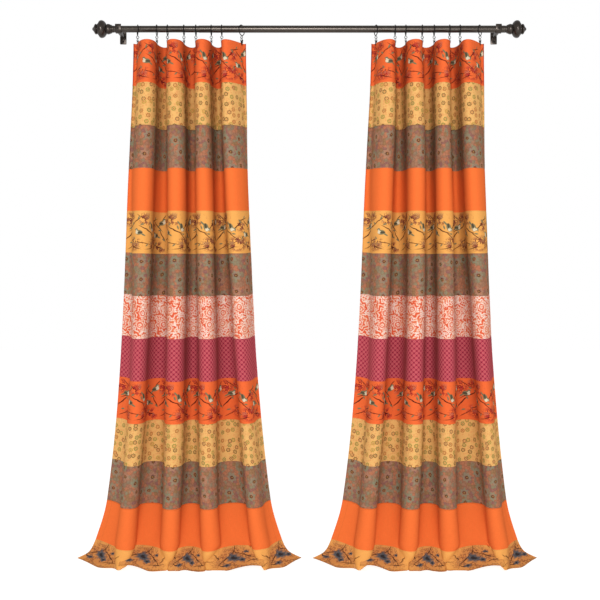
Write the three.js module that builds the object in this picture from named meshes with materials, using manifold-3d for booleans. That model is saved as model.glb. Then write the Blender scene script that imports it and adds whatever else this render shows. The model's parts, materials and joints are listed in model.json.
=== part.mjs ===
// A pair of clip-ring curtains on a telescoping rod, held by two wall brackets.
// Millimetres. X runs along the rod, +Y points into the wall, +Z is up.
// The origin lies on the wall face, midway along the rod and level with its axis.
import * as THREE from 'three';
import { ParametricGeometry } from 'three/addons/geometries/ParametricGeometry.js';
import { mergeVertices } from 'three/addons/utils/BufferGeometryUtils.js';
import Module from 'manifold-3d';

const wasm = await Module();
wasm.setup();

// Clearances
const SEAT_GAP = 0.3; // between pieces that rest on each other
const SLIDE_GAP = 0.3; // between the two rod tubes, all round

// Rod
const ROD_STANDOFF = 100; // wall face to rod axis
const OUTER_R = 14.3;
const OUTER_WALL = 0.6;
const INNER_WALL = 0.8;
const OUTER_LENGTH = 1230;
const INNER_LENGTH = 1220;
const ROD_SPAN = 1572; // between the outer ends of the two tubes
const OUTER_BORE_R = OUTER_R - OUTER_WALL;
const INNER_R = OUTER_BORE_R - SLIDE_GAP;
const INNER_BORE_R = INNER_R - INNER_WALL;
const TUBE_SIDES = 28;

// Finials: [distance out from the tube's end, radius]
const FINIAL_OUTLINE = [
  [0.3, 13.6], [5, 14], [9, 16.4], [14, 19.2], [21, 20.6], [26, 20.6], [28, 18.4], [30, 20.8],
  [34, 27], [40, 33], [46, 35], [52, 35], [57, 32.6], [60, 27.6], [61, 18], [64.5, 16.2],
  [67, 19.4], [71, 20.8], [75, 19.4], [79, 13], [83, 6],
];
const FINIAL_LENGTH = 86.5;
const FINIAL_SPIGOT = 25;
const FINIAL_SIDES = 16;

// Brackets
const BRACKET_X = [-766, 759];
const CRADLE_WIDTH = 24;
const CRADLE_WALL = 3;
const CRADLE_RISE = 17.5; // top of the cup's walls above the rod axis
const PLATE = { width: 26.5, height: 54, thick: 4, corner: 3, centreZ: -13 };
const ARM = { width: 12, height: 13, topZ: -2 };
const WALL_SCREW = { spacing: 34, holeR: 2.6 };
const CUP_SCREW = { shankR: 2, headR: 3.4, headHeight: 1.6 };
const CUP_R = OUTER_R + SEAT_GAP;

// Rings
const RING_BORE_R = 19;
const RING_WIRE_R = 1.75;
const EYE_R = 5; // to the middle of the eyelet's wire
const EYE_WIRE_R = 1.1;
const EYE_BITE = 1; // depth that the eyelet is brazed into the ring
const RING_SIDES = 16;
const RING_Z = -(RING_BORE_R - OUTER_R - SEAT_GAP);
const EYE_Z = RING_Z - RING_BORE_R - 2 * RING_WIRE_R - EYE_R + EYE_BITE - EYE_WIRE_R;

// Clips: two levers on a pin, hung from the eyelet by a wire bail
const CLIP_WIDTH = 9;
const PIN_R = 1.1;
const BAIL_R = 0.7;
const EAR = { thick: 0.8, r: 1.7 };
const BARREL_R = 2.3;
const LEVER = { thick: 1.1, jaw: 14, handle: 8, spreadOut: 3.5, waist: 2.7 };
const BAIL_TOP_Z = EYE_Z - EYE_R + EYE_WIRE_R + SEAT_GAP + BAIL_R;
const BAIL_HEIGHT = 15.7;
const PIN_Z = BAIL_TOP_Z - BAIL_HEIGHT;

// Panels
const CLOTH_THICK = 1.2;
const CLOTH_WIDTH = 1321; // flat
const CLOTH_GRIP = 9; // cloth held between the jaws
const FLOOR_Z = -2163;
const PANEL_PITCH = 958; // right panel's shift from the left panel
const CLIP_X = [-690, -613, -570, -504, -456, -394, -352, -272];
const CLIP_TURN = [15, 0, 0, 0, 0, 0, 0, -28]; // degrees about Z
const EDGE_TOP = [[-17, 8], [18, 8]]; // first and last edge from their clips, [x, y]
const EDGE_BACK = 52; // how much further back the edges lie at the hem
const EDGE_PULL = 30; // roundness of the turn between an edge and its clip
// Sideways drift of [edge, eight clip lines, edge] from the top, at each share of the drop
const DRIFT = [
  [0, [0, 0, 0, 0, 0, 0, 0, 0, 0, 0]],
  [0.28, [-26, -22, -10, 4, 9, 3, 7, 17, 22, 11]],
  [0.61, [-59, -30, -35, 0, 4, 12, 22, 59, 47, 42]],
  [0.87, [-116, -67, -73, -18, -11, 15, 27, 94, 88, 97]],
  [0.95, [-162, -88, -84, -30, -14, 19, 40, 110, 116, 145]],
  [1, [-215, -103, -92, -39, -15, 21, 51, 122, 138, 212]],
];
const ROWS = [0, 0.003, 0.14, 0.32, 0.5, 0.68, 0.83, 0.93, 0.997, 1];
const FOLD_STEPS = [0.025, 0.25, 0.5, 0.75, 0.975];
const CLOTH_TOP_Z = PIN_Z - LEVER.jaw + CLOTH_GRIP;

const METAL = { color: '#443c35', roughness: 0.42, metalness: 0.85 };
const CLOTH = { color: '#e0733c', roughness: 0.9, metalness: 0 };

const assembly = new THREE.Group();

function place(name, geometry, look, parent = assembly) {
  const mesh = new THREE.Mesh(geometry, new THREE.MeshStandardMaterial(look));
  mesh.name = name;
  parent.add(mesh);
  return mesh;
}

// ---- joining and cutting closed solids ----

function solid(geometry) {
  const bare = geometry.clone();
  bare.deleteAttribute('normal');
  bare.deleteAttribute('uv');
  const merged = mergeVertices(bare, 1e-4);
  return new wasm.Manifold(new wasm.Mesh({
    numProp: 3,
    vertProperties: new Float32Array(merged.attributes.position.array),
    triVerts: new Uint32Array(merged.index.array),
  }));
}

function geometryOf(manifold) {
  const mesh = manifold.getMesh();
  const geometry = new THREE.BufferGeometry();
  geometry.setAttribute('position', new THREE.BufferAttribute(mesh.vertProperties, 3));
  geometry.setIndex(new THREE.BufferAttribute(mesh.triVerts, 1));
  geometry.computeVertexNormals();
  return geometry;
}

const join = (...pieces) => geometryOf(pieces.map(solid).reduce((a, b) => a.add(b)));
const cut = (piece, ...holes) => geometryOf(
  holes.map(solid).reduce((a, b) => a.subtract(b), solid(piece)),
);

// ---- shapes that several pieces use ----

// A turned solid lying along X: outline points are [x, radius], from axis to axis.
function turned(outline, sides) {
  const points = outline.map(([x, r]) => new THREE.Vector2(Math.max(r, 0), x));
  return new THREE.LatheGeometry(points, sides).rotateZ(-Math.PI / 2);
}

// A wire ring round the X axis.
function wireRing(r, wireR, sides, wireSides) {
  const loop = [];
  for (let i = 0; i <= wireSides; i += 1) {
    const a = (2 * Math.PI * (i % wireSides)) / wireSides;
    loop.push(new THREE.Vector2(r + wireR * Math.cos(a), wireR * Math.sin(a)));
  }
  return new THREE.LatheGeometry(loop, sides).rotateZ(-Math.PI / 2);
}

function tube(outerR, boreR, from, to) {
  const loop = [[from, boreR], [from, outerR], [to, outerR], [to, boreR], [from, boreR]];
  return turned(loop, TUBE_SIDES);
}

// A flat outline in X and Z, pushed along Y and centred on it.
function slab(points, width) {
  const shape = new THREE.Shape(points.map(([x, z]) => new THREE.Vector2(x, z)));
  return new THREE.ExtrudeGeometry(shape, { depth: width, bevelEnabled: false })
    .rotateX(Math.PI / 2)
    .translate(0, width / 2, 0);
}

const rod = (r, length, sides) => new THREE.CylinderGeometry(r, r, length, sides);

// ---- rod ----

const rodGroup = new THREE.Group();
rodGroup.position.y = -ROD_STANDOFF;
assembly.add(rodGroup);
const rightEnd = ROD_SPAN / 2;
place('rod_outer_tube', tube(OUTER_R, OUTER_BORE_R, rightEnd - OUTER_LENGTH, rightEnd), METAL, rodGroup);
place('rod_inner_tube', tube(INNER_R, INNER_BORE_R, -rightEnd, INNER_LENGTH - rightEnd), METAL, rodGroup);

function finial(boreR) {
  const spigotR = boreR - SEAT_GAP;
  return turned([
    [-FINIAL_SPIGOT, 0], [-FINIAL_SPIGOT, spigotR], [FINIAL_OUTLINE[0][0], spigotR],
    ...FINIAL_OUTLINE, [FINIAL_LENGTH, 0],
  ], FINIAL_SIDES);
}
place('finial_right', finial(OUTER_BORE_R), METAL, rodGroup).position.x = rightEnd;
const leftFinial = place('finial_left', finial(INNER_BORE_R), METAL, rodGroup);
leftFinial.position.x = -rightEnd;
leftFinial.rotation.z = Math.PI;

// ---- brackets ----

function roundedPlate() {
  const { width, height, thick, corner } = PLATE;
  const x = width / 2 - corner;
  const z = height / 2 - corner;
  const outline = new THREE.Shape();
  outline.absarc(x, z, corner, 0, Math.PI / 2);
  outline.absarc(-x, z, corner, Math.PI / 2, Math.PI);
  outline.absarc(-x, -z, corner, Math.PI, 1.5 * Math.PI);
  outline.absarc(x, -z, corner, 1.5 * Math.PI, 2 * Math.PI);
  return new THREE.ExtrudeGeometry(outline, { depth: thick, bevelEnabled: false, curveSegments: 4 })
    .rotateX(Math.PI / 2)
    .translate(0, 0, PLATE.centreZ);
}

// A U-shaped cup, open at the top, that the rod lies in.
function cradle() {
  const outerR = CUP_R + CRADLE_WALL;
  const cup = new THREE.Shape();
  cup.moveTo(outerR, CRADLE_RISE);
  cup.lineTo(CUP_R, CRADLE_RISE);
  cup.absarc(0, 0, CUP_R, 0, -Math.PI, true);
  cup.lineTo(-CUP_R, CRADLE_RISE);
  cup.lineTo(-outerR, CRADLE_RISE);
  cup.absarc(0, 0, outerR, Math.PI, 2 * Math.PI, false);
  return new THREE.ExtrudeGeometry(cup, { depth: CRADLE_WIDTH, bevelEnabled: false, curveSegments: 12 })
    .rotateX(Math.PI / 2)
    .rotateZ(Math.PI / 2)
    .translate(-CRADLE_WIDTH / 2, -ROD_STANDOFF, 0);
}

function bracket() {
  const armEnd = ROD_STANDOFF - CUP_R - CRADLE_WALL / 2;
  const arm = new THREE.BoxGeometry(ARM.width, armEnd - 1, ARM.height)
    .translate(0, -(armEnd + 1) / 2, ARM.topZ - ARM.height / 2);
  const holes = [-1, 1].map((side) => rod(WALL_SCREW.holeR, 3 * PLATE.thick, 12)
    .translate(0, -PLATE.thick / 2, PLATE.centreZ + (side * WALL_SCREW.spacing) / 2));
  const cupHole = rod(CUP_SCREW.shankR + SEAT_GAP, 3 * CRADLE_WALL, 12)
    .translate(0, -ROD_STANDOFF - CUP_R - CRADLE_WALL / 2, 0);
  return cut(join(roundedPlate(), arm, cradle()), ...holes, cupHole);
}

// Shank up to the tube that lies in the cup, round head outside.
function cupScrew(tubeR) {
  const { shankR, headR, headHeight } = CUP_SCREW;
  const tip = tubeR + SEAT_GAP;
  const under = CUP_R + CRADLE_WALL + SEAT_GAP;
  const outline = [[0, tip], [shankR, tip], [shankR, under], [headR, under],
    [headR, under + headHeight * 0.6], [headR * 0.7, under + headHeight], [0, under + headHeight]];
  return new THREE.LatheGeometry(outline.map(([r, y]) => new THREE.Vector2(r, y)), 12)
    .rotateZ(Math.PI)
    .translate(0, -ROD_STANDOFF, 0);
}

['left', 'right'].forEach((side, i) => {
  const tubeR = side === 'left' ? INNER_R : OUTER_R;
  place(`bracket_${side}`, bracket(), METAL).position.x = BRACKET_X[i];
  place(`cup_screw_${side}`, cupScrew(tubeR), METAL).position.x = BRACKET_X[i];
});

// ---- rings and clips ----

function ring() {
  const eyelet = wireRing(EYE_R, EYE_WIRE_R, 8, 4).rotateZ(Math.PI / 2).translate(0, 0, EYE_Z);
  const flatsOut = 1 / Math.cos(Math.PI / RING_SIDES); // keeps the bore's flats at its radius
  const hoop = wireRing((RING_BORE_R + RING_WIRE_R) * flatsOut, RING_WIRE_R, RING_SIDES, 5)
    .translate(0, 0, RING_Z);
  return join(hoop, eyelet);
}

// Side view of one lever: straight jaw, waist that clears the barrel, flared handle.
function leverOutline(waist) {
  const t = LEVER.thick;
  const face = CLOTH_THICK / 2 + SEAT_GAP;
  return [
    [face, -LEVER.jaw], [face + t, -LEVER.jaw], [face + t + 0.2, -6], [waist + t, -2.6], [waist + t, 2.6],
    [LEVER.spreadOut + t, LEVER.handle], [LEVER.spreadOut, LEVER.handle], [waist, 2.4], [waist, -2.4],
    [face + 0.1, -6.4],
  ];
}

function clipBody() {
  const lever = slab(leverOutline(LEVER.waist), CLIP_WIDTH);
  const pieces = [lever, rod(PIN_R, CLIP_WIDTH + 2 * BAIL_R, 8)];
  const earReach = LEVER.waist + LEVER.thick / 2;
  for (const side of [-1, 1]) {
    const y = side * (CLIP_WIDTH - EAR.thick) / 2;
    pieces.push(new THREE.BoxGeometry(earReach + EAR.r, EAR.thick, 2 * EAR.r)
      .translate((earReach - EAR.r) / 2, y, 0));
  }
  const legY = CLIP_WIDTH / 2 + BAIL_R * 0.6;
  const bend = new THREE.CatmullRomCurve3([
    [-legY, 0], [-legY, 6], [-legY * 0.82, 11.5], [0, BAIL_HEIGHT], [legY * 0.82, 11.5], [legY, 6], [legY, 0],
  ].map(([y, z]) => new THREE.Vector3(0, y, z)));
  const section = new THREE.Shape();
  section.absarc(0, 0, BAIL_R, 0, 2 * Math.PI);
  pieces.push(new THREE.ExtrudeGeometry(section, { steps: 8, curveSegments: 2, extrudePath: bend }));
  return join(...pieces).translate(0, 0, PIN_Z);
}

function clipJaw() {
  const width = CLIP_WIDTH - 2 * EAR.thick - 2 * SEAT_GAP;
  const lever = slab(leverOutline(BARREL_R - 0.4), width).rotateZ(Math.PI);
  const barrel = rod(BARREL_R, width, 8);
  const pinHole = rod(PIN_R + SEAT_GAP, 2 * width, 8);
  return cut(join(lever, barrel), pinHole).translate(0, 0, PIN_Z);
}

const PANELS = { left: 0, right: PANEL_PITCH };
for (const [side, shift] of Object.entries(PANELS)) {
  CLIP_X.forEach((x, i) => {
    const hanger = new THREE.Group();
    hanger.position.set(x + shift, -ROD_STANDOFF, 0);
    hanger.rotation.z = THREE.MathUtils.degToRad(CLIP_TURN[i]);
    assembly.add(hanger);
    place(`${side}_ring_${i + 1}`, ring(), METAL, hanger);
    place(`${side}_clip_${i + 1}`, clipBody(), METAL, hanger);
    place(`${side}_jaw_${i + 1}`, clipJaw(), METAL, hanger);
  });
}

// ---- panels ----

// Value of one drift column at a share of the drop, along a smooth curve through its levels.
function drift(column, share) {
  const at = DRIFT.map(([s, values]) => [s, values[column]]);
  const slope = (k) => {
    const [a, b] = [at[Math.max(k - 1, 0)], at[Math.min(k + 1, at.length - 1)]];
    return k === 0 ? 0 : (b[1] - a[1]) / (b[0] - a[0]);
  };
  let k = at.findIndex(([s]) => share <= s);
  k = Math.max(k, 1);
  const [s0, v0] = at[k - 1];
  const [s1, v1] = at[k];
  const w = s1 - s0;
  const t = (share - s0) / w;
  const h = [2 * t ** 3 - 3 * t * t + 1, t ** 3 - 2 * t * t + t, 3 * t * t - 2 * t ** 3, t ** 3 - t * t];
  return h[0] * v0 + h[1] * w * slope(k - 1) + h[2] * v1 + h[3] * w * slope(k);
}

// The cloth seen from above at a share of the drop: one Bezier loop between neighbouring clip
// lines, forward and back by turns, with the two edges turned back to the wall.
function foldPath(share, reach) {
  const knots = CLIP_X.map((x, i) => {
    const turn = THREE.MathUtils.degToRad(CLIP_TURN[i] * (1 - share));
    return {
      at: new THREE.Vector2(x + drift(i + 1, share), 0),
      back: new THREE.Vector2(-Math.sin(turn), Math.cos(turn)),
    };
  });
  const edges = [0, 1].map((end) => {
    const knot = end ? CLIP_X.length - 1 : 0;
    const x = CLIP_X[knot] + EDGE_TOP[end][0] + drift(end ? CLIP_X.length + 1 : 0, share);
    return new THREE.Vector2(x, EDGE_TOP[end][1] + EDGE_BACK * share);
  });
  const path = new THREE.CurvePath();
  const bezier = (a, da, b, db) => path.add(new THREE.CubicBezierCurve(
    a, a.clone().add(da), b.clone().add(db), b,
  ));
  const pull = (knot, sign, length) => knot.back.clone().multiplyScalar(sign * length);
  const none = new THREE.Vector2();
  const last = knots[knots.length - 1];
  bezier(edges[0], none, knots[0].at, pull(knots[0], 1, EDGE_PULL));
  for (let i = 0; i + 1 < knots.length; i += 1) {
    const sign = i % 2 ? 1 : -1;
    bezier(knots[i].at, pull(knots[i], sign, reach), knots[i + 1].at, pull(knots[i + 1], sign, reach));
  }
  bezier(last.at, pull(last, 1, EDGE_PULL), edges[1], none);
  return path;
}

// Reach of the folds that makes the path as long as the cloth is wide.
function fittedPath(share) {
  let [low, high] = [0, 200];
  for (let i = 0; i < 30; i += 1) {
    const middle = (low + high) / 2;
    if (foldPath(share, middle).getLength() < CLOTH_WIDTH) low = middle;
    else high = middle;
  }
  return foldPath(share, low);
}

function rowPoints(share) {
  const curves = fittedPath(share).curves;
  const points = [];
  curves.forEach((curve, k) => {
    const ending = k === 0 || k === curves.length - 1;
    const steps = ending ? (k ? [0, 0.07, 0.5, 1] : [0, 0.5, 0.93]) : [0, ...FOLD_STEPS];
    steps.forEach((t) => points.push({ at: curve.getPoint(t), along: curve.getTangent(t) }));
  });
  return points;
}

function panel() {
  const rows = ROWS.map(rowPoints);
  const count = rows[0].length;
  const drop = CLOTH_TOP_Z - FLOOR_Z - SEAT_GAP;
  const around = (u, v, target) => {
    const r = Math.round(v * (ROWS.length - 1));
    const k = Math.round(u * 2 * count) % (2 * count);
    const front = k < count;
    const { at, along } = rows[r][front ? k : 2 * count - 1 - k];
    const rim = r === 0 || r === ROWS.length - 1;
    const off = rim ? 0 : (front ? 0.5 : -0.5) * CLOTH_THICK;
    target.set(at.x - along.y * off, at.y + along.x * off - ROD_STANDOFF, CLOTH_TOP_Z - drop * ROWS[r]);
  };
  return sameDiagonals(new ParametricGeometry(around, 2 * count, ROWS.length - 1), count);
}

// Splits the back skin's quads along the same diagonal as the front skin's, so that the two stay
// one thickness apart where the folds twist them. Every quad of the grid is six indices.
function sameDiagonals(geometry, frontColumns) {
  const { array } = geometry.index;
  for (let quad = 0; 6 * quad < array.length; quad += 1) {
    if (quad % (2 * frontColumns) < frontColumns) continue;
    const [a, b, d, , c] = array.slice(6 * quad, 6 * quad + 6);
    array.set([a, b, c, a, c, d], 6 * quad);
  }
  return geometry;
}

for (const [side, shift] of Object.entries(PANELS)) {
  place(`${side}_panel`, panel(), CLOTH).position.x = shift;
}

export default assembly;
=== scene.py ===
import json
import math

import bmesh
import bpy
import numpy as np
from mathutils import Matrix, Vector


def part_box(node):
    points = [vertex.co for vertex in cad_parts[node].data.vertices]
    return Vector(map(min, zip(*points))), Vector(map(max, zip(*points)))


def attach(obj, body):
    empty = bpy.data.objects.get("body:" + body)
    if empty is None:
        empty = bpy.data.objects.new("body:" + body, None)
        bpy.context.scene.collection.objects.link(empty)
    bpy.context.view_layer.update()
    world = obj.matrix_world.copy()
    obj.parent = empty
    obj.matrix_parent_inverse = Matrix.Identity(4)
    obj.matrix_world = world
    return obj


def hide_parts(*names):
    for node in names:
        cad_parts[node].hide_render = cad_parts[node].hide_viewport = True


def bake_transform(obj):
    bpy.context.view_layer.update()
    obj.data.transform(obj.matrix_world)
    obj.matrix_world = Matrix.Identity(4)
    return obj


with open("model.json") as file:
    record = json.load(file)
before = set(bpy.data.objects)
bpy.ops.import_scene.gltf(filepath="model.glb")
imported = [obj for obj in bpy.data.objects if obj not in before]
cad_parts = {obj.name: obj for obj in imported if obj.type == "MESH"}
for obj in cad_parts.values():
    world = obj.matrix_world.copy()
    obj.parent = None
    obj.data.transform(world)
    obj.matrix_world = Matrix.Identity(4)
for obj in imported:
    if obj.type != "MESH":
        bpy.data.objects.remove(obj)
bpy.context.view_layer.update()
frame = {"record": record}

bl_info = {
    "name": "Clip-ring curtains on a rod",
    "version": (1, 0, 0),
    "blender": (4, 5, 0),
    "location": "View3D > Sidebar > Curtains",
    "description": "Patchwork curtain pair on clip rings and a telescoping rod",
    "category": "Object",
}

MM = 0.001
BODY_OF = {
    node: body
    for body, nodes in frame["record"]["behaviour"]["bodies"].items()
    for node in nodes
}
SIDES = ("left", "right")
CLIPS = range(1, 9)


def middle(node):
    low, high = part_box(node)
    return (low + high) / 2


# Places that the frame settles
ROD_Y = middle("rod_outer_tube").y
ROD_Z = middle("rod_outer_tube").z
CLIP_X = [middle(f"left_ring_{i}").x for i in CLIPS]
PANEL_PITCH = middle("right_ring_1").x - middle("left_ring_1").x
JAW_TIP_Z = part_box("left_jaw_2")[0].z
FLOOR_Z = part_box("left_panel")[0].z

# Sizes that more than one piece uses
OUTER_TUBE_R = 14.3  # mm
INNER_TUBE_R = 13.4
SEAT_GAP = 0.3  # between pieces that rest on each other
EYE_Z = -33.0  # middle of a ring's eyelet, below the rod's axis
PIN_Z = -50.6  # a clip's pin, below the rod's axis
CLOTH_WIDTH = 1.321  # one panel laid flat, in metres
CLOTH_LENGTH = 2.134


# ---- values a user would change ----


class RodSettings(bpy.types.PropertyGroup):
    outer_radius: bpy.props.FloatProperty(
        name="Outer tube radius", description="Radius of the thicker rod tube",
        default=OUTER_TUBE_R * MM, unit="LENGTH")
    inner_radius: bpy.props.FloatProperty(
        name="Inner tube radius", description="Radius of the thinner rod tube",
        default=INNER_TUBE_R * MM, unit="LENGTH")


class RingSettings(bpy.types.PropertyGroup):
    bore_radius: bpy.props.FloatProperty(
        name="Ring bore radius", description="Inside radius of a curtain ring",
        default=19 * MM, unit="LENGTH")
    wire_radius: bpy.props.FloatProperty(
        name="Ring wire radius", description="Half the thickness of the ring's wire",
        default=1.75 * MM, unit="LENGTH")


class PanelSettings(bpy.types.PropertyGroup):
    width: bpy.props.FloatProperty(
        name="Flat width", description="Width of one panel laid flat",
        default=CLOTH_WIDTH, unit="LENGTH")
    length: bpy.props.FloatProperty(
        name="Flat length", description="Length of one panel laid flat",
        default=CLOTH_LENGTH, unit="LENGTH")
    thickness: bpy.props.FloatProperty(
        name="Cloth thickness", description="Thickness of the cloth",
        default=0.7 * MM, unit="LENGTH")


# ---- meshes ----


def make_object(name, mesh, material):
    piece = bpy.data.objects.new(name, mesh)
    bpy.context.collection.objects.link(piece)
    if material:
        mesh.materials.append(material)
    return piece


def object_from(name, bm, material, smooth_angle=35):
    bmesh.ops.remove_doubles(bm, verts=bm.verts, dist=1e-6)
    bmesh.ops.recalc_face_normals(bm, faces=bm.faces)
    mesh = bpy.data.meshes.new(name)
    bm.to_mesh(mesh)
    bm.free()
    mesh.shade_smooth()
    mesh.set_sharp_from_angle(angle=math.radians(smooth_angle))
    return make_object(name, mesh, material)


def turned(bm, outline, steps):
    """Turns an outline of (place along X, radius) about the X axis into a closed solid."""
    points = [bm.verts.new((x, r, 0)) for x, r in outline]
    edges = [bm.edges.new(pair) for pair in zip(points, points[1:])]
    bmesh.ops.spin(
        bm, geom=points + edges, cent=(0, 0, 0), axis=(1, 0, 0), angle=2 * math.pi,
        steps=steps, use_merge=True)


def smooth_outline(points, per_span=4):
    """A rounder outline through the given points."""
    points = [Vector(p) for p in points]
    padded = [points[0]] + points + [points[-1]]
    out = []
    for a, b, c, d in zip(padded, padded[1:], padded[2:], padded[3:]):
        for k in range(per_span):
            t = k / per_span
            out.append(0.5 * (2 * b + (c - a) * t + (2 * a - 5 * b + 4 * c - d) * t * t
                              + (3 * b - a - 3 * c + d) * t ** 3))
    return [(p.x, max(p.y, 0)) for p in out + [points[-1]]]


def add_wire(bm, points, radius):
    """Adds a round wire along points."""
    curve = bpy.data.curves.new("wire", "CURVE")
    curve.dimensions = "3D"
    curve.bevel_depth = radius
    curve.bevel_resolution = 3
    curve.use_fill_caps = True
    spline = curve.splines.new("NURBS")
    spline.points.add(len(points) - 1)
    for point, place in zip(spline.points, points):
        point.co = (*place, 1)
    spline.use_endpoint_u = True
    spline.order_u = 3
    spline.resolution_u = 4
    holder = bpy.data.objects.new("wire", curve)
    mesh = bpy.data.meshes.new_from_object(holder)
    bpy.data.objects.remove(holder)
    bpy.data.curves.remove(curve)
    bm.from_mesh(mesh)
    bpy.data.meshes.remove(mesh)


def merge(bm, other):
    """Adds another bmesh to bm and frees it."""
    mesh = bpy.data.meshes.new("merged")
    other.to_mesh(mesh)
    other.free()
    bm.from_mesh(mesh)
    bpy.data.meshes.remove(mesh)


def settle(bm, matrix):
    bmesh.ops.transform(bm, matrix=matrix, verts=bm.verts)


# ---- materials ----


def srgb(code):
    channels = [int(code[i:i + 2], 16) / 255 for i in (1, 3, 5)]
    return tuple(c / 12.92 if c <= 0.04045 else ((c + 0.055) / 1.055) ** 2.4 for c in channels) + (1,)


def node(tree, kind, inputs=None, out=0, **settings):
    """Adds a node with its settings, fills or links its inputs, and returns one output."""
    made = tree.nodes.new(kind)
    for key, value in settings.items():
        setattr(made, key, value)
    for key, value in (inputs or {}).items():
        if isinstance(value, bpy.types.NodeSocket):
            tree.links.new(value, made.inputs[key])
        else:
            made.inputs[key].default_value = value
    return made.outputs[out]


def start_material(name):
    material = bpy.data.materials.new(name)
    material.use_nodes = True
    tree = material.node_tree
    return material, tree, tree.nodes["Principled BSDF"]


def connect(tree, shader, **sockets):
    names = {"colour": "Base Color", "roughness": "Roughness", "normal": "Normal"}
    for key, value in sockets.items():
        tree.links.new(value, shader.inputs[names[key]])


def bronze_finish(name, dark, worn, roughness):
    """Steel with an oil-rubbed bronze coat: near black, brown where the coat is thin, with a soft
    satin gloss that is a little uneven."""
    material, tree, shader = start_material(name)
    place = node(tree, "ShaderNodeTexCoord", out="Object")
    # patches of thinner coat, 12 mm across
    patches = node(tree, "ShaderNodeTexNoise", {"Vector": place, "Scale": 1 / 0.012, "Detail": 2.0})
    # grit of the sprayed coat, 0.8 mm
    grit = node(tree, "ShaderNodeTexNoise", {"Vector": place, "Scale": 1 / 0.0008, "Detail": 2.0})
    tone = node(tree, "ShaderNodeMapRange", {"Value": patches, "From Min": 0.42, "From Max": 0.68})
    colour = node(tree, "ShaderNodeMix", {0: tone, 6: srgb(dark), 7: srgb(worn)}, out=2,
                  data_type="RGBA")
    rough = node(tree, "ShaderNodeMapRange", {
        "Value": patches, "To Min": roughness - 0.02, "To Max": roughness + 0.03})
    bump = node(tree, "ShaderNodeBump", {"Height": grit, "Strength": 0.02, "Distance": 0.00001})
    connect(tree, shader, colour=colour, roughness=rough, normal=bump)
    shader.inputs["Metallic"].default_value = 0.75
    return material


MATERIALS = {}


def metal(key):
    makers = {
        "rod_bronze": ("oil_rubbed_bronze_rod", "#3A342F", "#403A34", 0.23),
        "cast_bronze": ("oil_rubbed_bronze_casting", "#332D29", "#3C352F", 0.27),
        "ring_bronze": ("oil_rubbed_bronze_wire", "#171412", "#221D1A", 0.36),
        "spring_steel": ("zinc_plated_spring_steel", "#8B8A86", "#A5A29A", 0.3),
    }
    if key not in MATERIALS:
        MATERIALS[key] = bronze_finish(*makers[key])
    return MATERIALS[key]


# ---- printed cloth ----
# Patterns read the panel's own UV map in metres: X across the flat panel, Y down from its top.

BANDS = 12.6  # twelve full bands and the part of one that the hem leaves
BAND = CLOTH_LENGTH / BANDS


def ellipse(tree, place, centre, size, turn=0.0, soft=0.18):
    """1 inside an ellipse of the given centre and half sizes in millimetres, 0 outside."""
    local = node(tree, "ShaderNodeMapping", {
        "Vector": place, "Location": (centre[0] * MM, centre[1] * MM, 0),
        "Rotation": (0, 0, math.radians(turn)), "Scale": (size[0] * MM, size[1] * MM, 1),
    }, vector_type="TEXTURE")
    reach = node(tree, "ShaderNodeVectorMath", {0: local}, out="Value", operation="LENGTH")
    return node(tree, "ShaderNodeMapRange", {
        "Value": reach, "From Min": 1 - soft, "From Max": 1 + soft, "To Min": 1.0, "To Max": 0.0})


def combine(tree, a, b, operation="MAXIMUM"):
    """Two values put through a maths operation; the greater one if none is named."""
    return node(tree, "ShaderNodeMath", {0: a, 1: b}, operation=operation)


def together(tree, masks):
    """1 where any of the masks is 1."""
    whole = masks[0]
    for mask in masks[1:]:
        whole = combine(tree, whole, mask)
    return whole


def below(tree, value, full, none):
    """1 where value is under full, 0 where it is over none."""
    return node(tree, "ShaderNodeMapRange", {
        "Value": value, "From Min": full, "From Max": none, "To Min": 1.0, "To Max": 0.0})


def paint(tree, ground, mask, colour):
    colour = srgb(colour) if isinstance(colour, str) else colour
    ground = srgb(ground) if isinstance(ground, str) else ground
    return node(tree, "ShaderNodeMix", {0: mask, 6: ground, 7: colour}, out=2, data_type="RGBA")


def band_of(value, low, high, soft, tree):
    """1 where value lies between low and high."""
    up = node(tree, "ShaderNodeMapRange", {
        "Value": value, "From Min": low - soft, "From Max": low + soft})
    down = below(tree, value, high - soft, high + soft)
    return combine(tree, up, down, "MULTIPLY")


def scatter(tree, place, cell, petals=5, jitter=1.0, lobes=0.22):
    """Flower centres about one cell apart: (distance with a petalled edge, plain distance,
    angle, random number, its second random number)."""
    scaled = node(tree, "ShaderNodeVectorMath", {0: place, "Scale": 1 / (cell * MM)},
                  operation="SCALE")
    cells = tree.nodes.new("ShaderNodeTexVoronoi")
    cells.voronoi_dimensions = "2D"
    cells.inputs["Scale"].default_value = 1.0
    cells.inputs["Randomness"].default_value = jitter
    tree.links.new(scaled, cells.inputs["Vector"])
    local = node(tree, "ShaderNodeVectorMath", {0: scaled, 1: cells.outputs["Position"]},
                 operation="SUBTRACT")
    xyz = tree.nodes.new("ShaderNodeSeparateXYZ")
    tree.links.new(local, xyz.inputs[0])
    angle = node(tree, "ShaderNodeMath", {0: xyz.outputs[1], 1: xyz.outputs[0]},
                 operation="ARCTAN2")
    random = tree.nodes.new("ShaderNodeSeparateColor")
    tree.links.new(cells.outputs["Color"], random.inputs[0])
    turned_angle = node(tree, "ShaderNodeMath", {
        0: random.outputs[2], 1: 6.28, 2: angle}, operation="MULTIPLY_ADD")
    wave = node(tree, "ShaderNodeMath", {
        0: combine(tree, turned_angle, float(petals), "MULTIPLY"),
    }, operation="COSINE")
    swell = node(tree, "ShaderNodeMath", {0: wave, 1: -lobes, 2: 1.0}, operation="MULTIPLY_ADD")
    distance = cells.outputs["Distance"]
    petalled = combine(tree, distance, swell, "MULTIPLY")
    return petalled, distance, turned_angle, random.outputs[0], random.outputs[1]


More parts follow.
